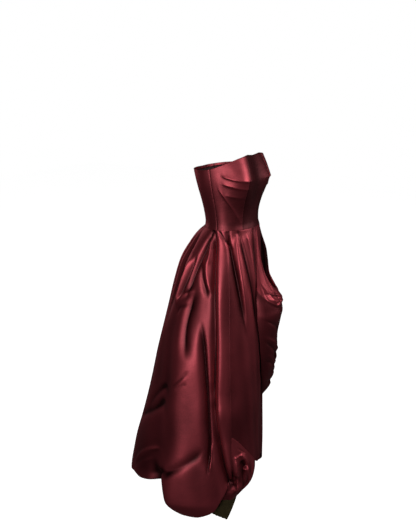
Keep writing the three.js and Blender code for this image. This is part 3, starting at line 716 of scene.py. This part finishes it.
def bodicePanel(panel):
    def point(u, v):
        bust = bodiceFit["bustHeight"]
        atBust = between(*(seamAngleAt(panel[key], bust) for key in ("fromSeam", "toSeam")), u)
        height = mix(necklineCurve(np.abs(wrapped(atBust))), bodiceFit["foot"], v)
        angle = between(*(seamAngleAt(panel[key], height) for key in ("fromSeam", "toSeam")), u)
        return bodicePoint(angle, height)

    name, cut = panel["name"], (panel["width"], panel["length"])
    edges = bodiceEdges["turnTop"], bodiceEdges["turnFoot"], bodiceEdges["seamDip"]
    columns, rows = panel["across"], bodiceEdges["down"]
    piece = clothSheet(name + "_satin", satinFinish, columns, rows, point, cut, panel["tone"], *edges)
    sewIn(piece, name)


for panel in bodicePanels:
    bodicePanel(panel)
print("bodice sewn")

# The balloon hem, which rolls in under the skirt's foot.
balloon = {
    "faceShare": 0.9,  # the share of the rows that lies on the skirt's face
    "sweep": 0.8,  # how far the hem rolls under, in half turns
    "sag": 0.35,
    "plainIn": 1.5,
    "plainDown": 6,
    "fadeIn": 0.15,
    "fadeOut": 0.3,
}
skirtEdges = {"top": -0.1, "turnTop": 5, "turnFoot": 12}


# A panel of the skirt, with its balloon hem turned in under it where it has one.
def skirtPanel(panel):
    hem = curveOf(hems[panel["name"]], "height", "share")
    depth = panel["turnedUnder"]
    plain = balloon["faceShare"] if depth else 1.0

    def point(u, v):
        height = mix(skirtEdges["top"], hem(np.clip(u, 0, 1)), np.clip(v / plain, 0, 1))
        angle = panelAngle(panel, height, u)
        surface = around(angle, skirtRadius(angle, height), height)
        if not depth:
            return surface
        turned = np.clip((v - plain) / (1 - plain), 0, 1)
        full = ease((u - panel["turnStarts"]) / balloon["fadeIn"])
        full = full * ease((panel["turnEnds"] - u) / balloon["fadeOut"])
        sweep = balloon["sweep"] * np.pi * turned
        inward = mix(balloon["plainIn"] * turned, depth / 2 * (1 - np.cos(sweep)), full)
        sag = balloon["sag"] * np.sin(sweep) - turned**2
        down = mix(balloon["plainDown"] * turned, depth / 2 * sag, full)
        return surface + around(angle, -inward, -down)

    name, cut = panel["name"], (panel["width"], panel["length"])
    edges = skirtEdges["turnTop"], 0 if depth else skirtEdges["turnFoot"]
    columns, rows = panel["across"], panel["down"]
    piece = clothSheet(name + "_satin", satinFinish, columns, rows, point, cut, panel["tone"], *edges)
    sewIn(piece, name)


for panel in skirtPanels:
    skirtPanel(panel)
print("skirt hung")

# The drape at the left hip: the angles of its two edges, and how far it stands off the skirt between them.
drapeSections = rowsOf(
    "height near far out farOut",
    (0, -4, -58, 8, 34),
    (-90, 5, -67, 12, 58),
    (-150, 9, -73, 20, 46),
    (-200, 12, -76, 34, 36),
    (-240, 14, -78, 50, 50),
    (-270, 15, -79, 64, 64),
    (-300, 15, -80, 72, 74),
    (-318, 15, -80, 75, 75),
    (-345, 14, -80, 70, 70),
    (-400, 11, -80, 62, 62),
    (-470, 6, -80, 58, 58),
    (-560, -5, -76, 54, 54),
    (-640, -19, -68, 36, 36),
    (-675, -24, -64, 12, 12),
    (-695, -26, -62, 2, 2),
)
# The lip is the part of the cloth that rolls in at the drape's top edge.
drape = {
    "top": -2,
    "bottom": -690,
    "drop": 236,
    "curve": 2.2,
    "lip": 24,
    "lipShare": 2 / 19,
    "lipRoll": 0.7,
    "lipRollMost": 0.65,
    "clearance": 1.6,
    "farBlend": 2,
    "roundness": 0.8,
    "leanWaves": 2.6,
    "swagWaves": 5,
    "swagVaries": 0.35,
    "creaseReach": 40,
    "bandFade": 8,
    "footFade": 60,
    "lipLeast": 0.05,
    "lipShadeRise": 4,
    "across": 150,
    "down": 300,
    "cut": (0.42, 0.8),
    "area": 0.145,
}
# The upper edge is a turned-over band, whose foot stands out and casts a shadow on the plain cloth below it;
# the band's colour is also painted light, and the cloth below its foot painted dark as its shadow.
bandFoot = rowsOf("side height", (-1, -226), (-0.5, -262), (0, -280), (0.4, -284), (0.75, -256), (1, -220))
band = {"standsOut": 5.5, "rises": 34, "falls": 7, "bandHighlight": 2.8, "bandShadow": 0.5, "edge": 9, "lipShade": 0.1}
drapeGathers = {"start": -430, "spacing": 60, "depth": 3.2, "slant": 1.5}
# Folds that hang in a curve below the drape's top edge: how far below it, and how deep.
swagFolds = rowsOf(
    "below width depth lean crisp",
    (12, 6, 3, 5, 0.4),
    (25, 6, -3.5, 7, 0.4),
    (38, 7, 3, -6, 0.3),
)
# Creases that run down and out from the drape's near edge.
drapeCreases = rowsOf(
    "fromAngle fromHeight toAngle toHeight width depth bow crisp",
    (8, -330, -34, -420, 8, -7, 8, 0.6),
    (4, -400, -36, -500, 9, 6, 8, 0.5),
    (2, -420, -38, -540, 7, -7, 8, 0.6),
    (-4, -500, -44, -590, 8, -6, 6, 0.6),
    (-6, -480, -30, -560, 7, 5, 4, 0.5),
    (-16, -600, -50, -640, 7, -5, 4, 0.6),
    (-76, -330, -46, -430, 9, -7, -8, 0.5),
    (-76, -430, -50, -530, 9, -6, -8, 0.5),
)
bandCreases = rowsOf(
    "fromAngle fromHeight toAngle toHeight width depth bow crisp",
    (12, -60, 10, -190, 5, -3, 2, 0.5),
    (8, -40, 6, -170, 5, 3, 2, 0.5),
    (12, -160, 1, -280, 5, -4, 4, 0.5),
    (9, -190, -8, -276, 6, 4, 5, 0.5),
    (6, -236, -24, -262, 5, -4, 4, 0.6),
    (0, -256, -30, -282, 6, 4, -3, 0.5),
    (-6, -284, -32, -272, 4, -4, 4, 0.6),
    (-16, -244, -20, -292, 5, -3, 3, 0.5),
)
bandFootCurve = curveOf(bandFoot, "height", "side")
drapeCurves = {key: curveOf(drapeSections, key) for key in ("near", "far", "out", "farOut")}


# The top edge hangs in a curve from side -1, the far end, to side 1. The rows above lipShare are its lip.
def drapeHeights(side, v):
    top = drape["top"] - drape["drop"] * (1 - np.abs(side) ** drape["curve"])
    return top, mix(top, drape["bottom"], np.clip((v - drape["lipShare"]) / (1 - drape["lipShare"]), 0, 1))


def drapePoint(u, v):
    side = np.clip(2 * u - 1, -1, 1)
    hang = 1 - np.abs(side) ** drape["curve"]
    top, height = drapeHeights(side, v)
    angle = mix(drapeCurves["far"](height), drapeCurves["near"](height), u)
    skirt = np.max([skirtRadius(angle + step, height) for step in (-4, -2, 0, 2, 4)], 0)
    phase = 2 * np.pi * height / drapeGathers["spacing"] + drapeGathers["slant"] * side
    gathers = drapeGathers["depth"] * np.sin(phase)
    gathered = gathers * ease((drapeGathers["start"] - height) / drapeGathers["spacing"]) * (1 - side * side)
    below = top - height
    swag = 0.0
    for fold in swagFolds:
        wander = fold["lean"] * np.sin(drape["leanWaves"] * side + fold["below"])
        shape = creaseShape((below - fold["below"] - wander) / fold["width"], fold["crisp"])
        varied = np.sin(drape["swagWaves"] * side + fold["below"] / 5)
        swag = swag + fold["depth"] * shape * (1 - drape["swagVaries"] + drape["swagVaries"] * varied)
    reached = skirt + drape["creaseReach"]
    for crease in drapeCreases:
        swag = swag + crossCreaseLift(crease, angle, height, reached)
    aboveFoot = height - bandFootCurve(side)
    reach = np.where(aboveFoot > 0, band["rises"], band["falls"])
    standsOut = band["standsOut"] * np.exp(-((aboveFoot / reach) ** 2))
    for crease in bandCreases:
        lift = crossCreaseLift(crease, angle, height, reached)
        swag = swag + lift * ease(aboveFoot / drape["bandFade"] + 0.5)
    swag = swag + standsOut
    nearFoot = ease((height - drape["bottom"] - 10) / drape["footFade"])
    gathered = gathered + swag * ease(below / 6) * ease(hang * 5) * nearFoot
    out = mix(drapeCurves["out"](height), drapeCurves["farOut"](height), ease(-drape["farBlend"] * side))
    standsOff = (out + gathered) * np.clip(np.cos(side * np.pi / 2), 0, 1) ** drape["roundness"]
    lip = np.clip(1 - v / drape["lipShare"], 0, 1) * mix(drape["lipLeast"], 1, hang) * drape["lip"]
    standsOff = np.maximum(0, standsOff)
    rolledIn = np.minimum(drape["lipRoll"] * lip, drape["lipRollMost"] * standsOff)
    return around(angle, skirt + drape["clearance"] + standsOff - rolledIn, height - lip)


# Painted light and shade: the band's colour is painted bright as a highlight, the cloth below its foot
# painted dark as the band's shadow, and the lip painted nearly black towards its top edge as shade inside the
# cowl.
def drapeLightAndShade(u, v):
    side = 2 * u - 1
    height = drapeHeights(side, v)[1]
    tone = mix(band["bandShadow"], band["bandHighlight"], ease((height - bandFootCurve(side)) / band["edge"] + 0.5))
    return tone * mix(1, band["lipShade"], ease(drape["lipShadeRise"] * (1 - v / drape["lipShare"])))


columns, rows = drape["across"], drape["down"]
drapePiece = clothSheet("hip_drape_satin", satinFinish, columns, rows, drapePoint, drape["cut"], drapeLightAndShade)
sewIn(drapePiece, "hip_drape")
print("drape hung")

# The picked-up layer of the hem, which comes out below the last part of the front's hem.
pickup = {
    "gap": 0.9,
    "inset": 0.12,
    "bottom": -1010,
    "fromBottom": 50,
    "toBottom": 74,
    "frontShare": 7 / 24,
    "ripples": 2.4,
    "rippleDepth": 3.5,
    "turnFrom": 0.6,
    "turnOver": 0.25,
    "tuck": 11,
    "tuckFrom": 0.45,
    "tuckOver": 0.15,
    "tuckSide": 0.5,
    "tuckSideOver": 0.3,
    "roll": 12,
    "rollShare": 0.15,
    "paintedLightTop": 2.6,
    "paintedLightFoot": 1.5,
    "across": 110,
    "down": 170,
    "cut": (0.15, 0.3),
    "area": 0.026,
}
pickupBulge = rowsOf("share out", (0, 0), (0.15, 9), (0.35, 14), (0.55, 8), (0.75, -7), (1, -26))
bulge = curveOf(pickupBulge, "out", "share")
pickupCreases = rowsOf(
    "fromAngle fromHeight toAngle toHeight width depth bow crisp",
    (55, -816, 47, -812, 5, 5, 0, 0.1),
    (47.5, -812, 39, -858, 6, 6, 2, 0.1),
    (47.5, -836, 43, -866, 9, -12, 0, 0.1),
    (53.5, -820, 51, -962, 6, 9, 0, 0.4),
    (46.5, -868, 44.5, -950, 7, -9, 0, 0.4),
    (41, -866, 37, -930, 6, 8, 0, 0.4),
    (52, -782, 43, -812, 3, -3, 0, 0.6),
    (49, -772, 40, -806, 3, -3, 0, 0.6),
    (58.5, -790, 56.5, -930, 4, -7, 0, 0.5),
)
frontHem = curveOf(hems["skirt_front"], "height", "share")


def pickupPoint(u, v):
    u = np.clip(u, 0, 1)
    frontShare = mix(1 - pickup["frontShare"], 1, u)
    top = frontHem(frontShare) - pickup["gap"]
    height = mix(top, pickup["bottom"], v)
    topAngle = panelAngle(skirtPanels[0], top, frontShare)
    bottomAngle = mix(pickup["fromBottom"], pickup["toBottom"], u)
    turned = ease((v - pickup["turnFrom"]) / pickup["turnOver"])
    angle = mix(topAngle - pickup["inset"] * u**4, bottomAngle, mix(v, turned, u))
    ripples = pickup["rippleDepth"] * np.sin(2 * np.pi * pickup["ripples"] * u + 3 * v)
    out = bulge(v) + ripples * ease(3 * v)
    tucked = ease((v - pickup["tuckFrom"]) / pickup["tuckOver"])
    tucked = tucked * ease((u - pickup["tuckSide"]) / pickup["tuckSideOver"])
    rolled = pickup["roll"] * np.clip(1 - u / pickup["rollShare"], 0, 1) ** 2 * v
    flat = np.maximum(u**4, tucked)
    skirt = skirtRadius(angle, height)
    creased = sum(crossCreaseLift(crease, angle, height, skirt) for crease in pickupCreases) * ease(v * 8)
    offset = mix(out, np.minimum(out, 0), flat) - pickup["tuck"] * tucked - rolled + creased * (1 - u**4)
    return around(angle, skirt + offset, height)


# The picked-up layer's colour is painted much lighter, most of all at its top: painted light.
def pickupPaintedLight(u, v):
    return mix(pickup["paintedLightTop"], pickup["paintedLightFoot"], ease(v * 3))


columns, rows = pickup["across"], pickup["down"]
cut = pickup["cut"]
pickupPiece = clothSheet("hem_pickup_satin", satinFinish, columns, rows, pickupPoint, cut, pickupPaintedLight)
sewIn(pickupPiece, "hem_pickup")
print("hem picked up")

# The net under the hem, where it shows below the picked-up layer.
netFlare = {
    "fromAngle": 62,
    "toAngle": 82,
    "nearInset": 5,
    "farInset": 42,
    "gap": 0.3,
    "foot": -1083,
    "ripples": 5,
    "rippleDepth": 0.8,
    "across": 60,
    "down": 24,
    "cut": (0.08, 0.075),
    "area": 0.006,
}
netLook = {
    "deep": (0.008, 0.005, 0.0015),
    "light": (0.085, 0.064, 0.024),
    "roughness": 0.88,
    "gloss": 0.15,
    "clouds": 60.0,
    "mesh": 900.0,
    "strands": 120.0,
    "slant": 0.8,
    "cloudShare": 0.5,
    "knotShare": 0.6,
    "strandShare": 0.25,
    "less": 0.35,
    "bumpStrength": 0.5,
    "bumpDepth": 0.0005,
}


def netPoint(u, v):
    tops = pickupPoint(u, np.ones_like(u))
    topAngle = np.degrees(np.arctan2(-tops[:, 0], -tops[:, 1]))
    footAngle = mix(netFlare["fromAngle"], netFlare["toAngle"], u)
    height = mix(pickup["bottom"] - netFlare["gap"], netFlare["foot"], v)
    footRadius = skirtRadius(footAngle, np.full_like(u, netFlare["foot"]))
    footRadius = footRadius - mix(netFlare["nearInset"], netFlare["farInset"], u)
    ripples = netFlare["rippleDepth"] * np.sin(2 * np.pi * netFlare["ripples"] * u) * v
    radius = mix(np.hypot(tops[:, 0], tops[:, 1]), footRadius, v) + ripples
    return around(mix(topAngle, footAngle, v), radius, height)


def netting(name, look):
    paint = Paint(bpy.data.materials.new(name))
    cloth = paint.node("ShaderNodeUVMap", {"uv_map": "cloth"})
    place = paint.node("ShaderNodeTexCoord", output=3)
    clouds = paint.noise(place, look["clouds"], 3.0)
    knots = paint.noise(paint.stretched(cloth, (look["mesh"], look["mesh"], 1.0)), 1.0, 2.0)
    slanted = (0.0, 0.0, look["slant"])
    turned = paint.node("ShaderNodeMapping", None, {"Vector": cloth, "Rotation": slanted})
    sockets = {"Vector": turned, "Scale": look["strands"]}
    strands = paint.node("ShaderNodeTexWave", {"wave_type": "BANDS"}, sockets)
    tone = clouds * look["cloudShare"] + knots * look["knotShare"]
    tone = tone + strands * look["strandShare"] - look["less"]
    paint.set(Base_Color=paint.blend(tone, look["deep"], look["light"]))
    paint.set(Roughness=knots * 0.1 + look["roughness"], Specular_IOR_Level=look["gloss"])
    paint.set(Normal=paint.bump(knots, look["bumpStrength"], look["bumpDepth"]))
    return paint.painted


netFinish = [netting("hem net", netLook)] * 2
columns, rows = netFlare["across"], netFlare["down"]
netPiece = clothSheet("net_hem_net", netFinish, columns, rows, netPoint, netFlare["cut"])
sewIn(netPiece, "net_hem")
print("net hung")

# The enamelled metal of the zip's slider and pull tab.
zipLook = {
    "base": (0.07, 0.016, 0.021),
    "worn": (0.20, 0.10, 0.10),
    "metallic": 0.7,
    "roughness": 0.32,
    "grain": 900.0,
    "wear": 1.4,
    "less": 0.5,
    "bumpStrength": 0.15,
    "bumpDepth": 0.0001,
}


def enamel(name, look):
    paint = Paint(bpy.data.materials.new(name))
    place = paint.node("ShaderNodeTexCoord", output=3)
    wear = paint.noise(place, look["grain"], 4.0, 0.6)
    paint.set(Base_Color=paint.blend(wear * look["wear"] - look["less"], look["base"], look["worn"]))
    paint.set(Metallic=look["metallic"], Roughness=wear * 0.2 + look["roughness"])
    paint.set(Normal=paint.bump(wear, look["bumpStrength"], look["bumpDepth"]))
    return paint.painted


zipEnamel = enamel("zip enamel", zipLook)
for node in ("zip_slider", "zip_pull"):
    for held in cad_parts[node].material_slots:
        held.material = zipEnamel
print("zip enamelled")

# The lights, the white floor and the camera.
studio = {
    "floorSize": 14,
    "floorGap": 0.002,
    "floorColour": (0.85, 0.85, 0.85),
    "floorGlow": 0.97,
    "background": (1.0, 1.0, 1.0),
    "ambient": 0.022,
    "aim": (0, 0, -0.35),
    "lights": [  # name, place, power and size
        ("key", (-3.0, -0.6, 0.2), 35, (0.5, 2.0)),
        ("top", (-1.9, -1.7, 2.9), 15, (0.6, 0.6)),
        ("front", (0.45, -2.5, 1.3), 21, (0.5, 0.5)),
        ("fill", (1.5, -2.2, 0.3), 6, (0.8, 0.8)),
        ("rim", (0.9, 3.4, 0.4), 9, (1.4, 2.4)),
    ],
    "camera": (-1.905, -1.100, 0.517),
    "tilt": 16.5,
    "turn": 2.25,  # how far the camera looks past the gown's axis, in degrees
    "lens": 43.96,
    "sensor": 36,
}

for name, place, power, size in studio["lights"]:
    light = bpy.data.lights.new(name, "AREA")
    light.shape, light.energy = "RECTANGLE", power
    light.size, light.size_y = size
    lamp = bpy.data.objects.new(name, light)
    lamp.location = place
    lamp.rotation_euler = (Vector(studio["aim"]) - Vector(place)).to_track_quat("-Z", "Y").to_euler()
    bpy.context.scene.collection.objects.link(lamp)

# A white sweep that looks evenly lit to the camera and gives the gown no light from below.
floorMesh = bpy.data.meshes.new("floor")
sweep = bmesh.new()
bmesh.ops.create_grid(sweep, x_segments=8, y_segments=8, size=studio["floorSize"] / 2)
bmesh.ops.translate(sweep, verts=sweep.verts, vec=(0, 0, cadBox[0][2] - studio["floorGap"]))
sweep.to_mesh(floorMesh)
sweep.free()
floor = bpy.data.objects.new("floor", floorMesh)
bpy.context.scene.collection.objects.link(floor)
pale = Paint(bpy.data.materials.new("pale floor"))
pale.set(Base_Color=studio["floorColour"], Roughness=0.9)
pale.set(Emission_Color=(1.0, 1.0, 1.0), Emission_Strength=studio["floorGlow"])
floorMesh.materials.append(pale.painted)
floor.visible_diffuse = floor.visible_glossy = floor.visible_shadow = False

# The wall behind is white too, and gives the gown only a dim light from all round.
air = Paint(bpy.data.worlds.new("studio"), "Background")
seen = air.node("ShaderNodeLightPath")
air.set(Color=studio["background"], Strength=seen * (1 - studio["ambient"]) + studio["ambient"])
bpy.context.scene.world = air.painted

lens = bpy.data.cameras.new("view")
lens.lens, lens.sensor_width = studio["lens"], studio["sensor"]
camera = bpy.data.objects.new("view", lens)
camera.location = studio["camera"]
toAxis = np.degrees(np.arctan2(-camera.location[1], -camera.location[0]))
camera.rotation_euler = Euler(np.radians([90 - studio["tilt"], 0, toAxis - 90 + studio["turn"]]))
bpy.context.scene.collection.objects.link(camera)
bpy.context.scene.camera = camera
bpy.context.scene.view_settings.view_transform = "Standard"
print("studio lit")
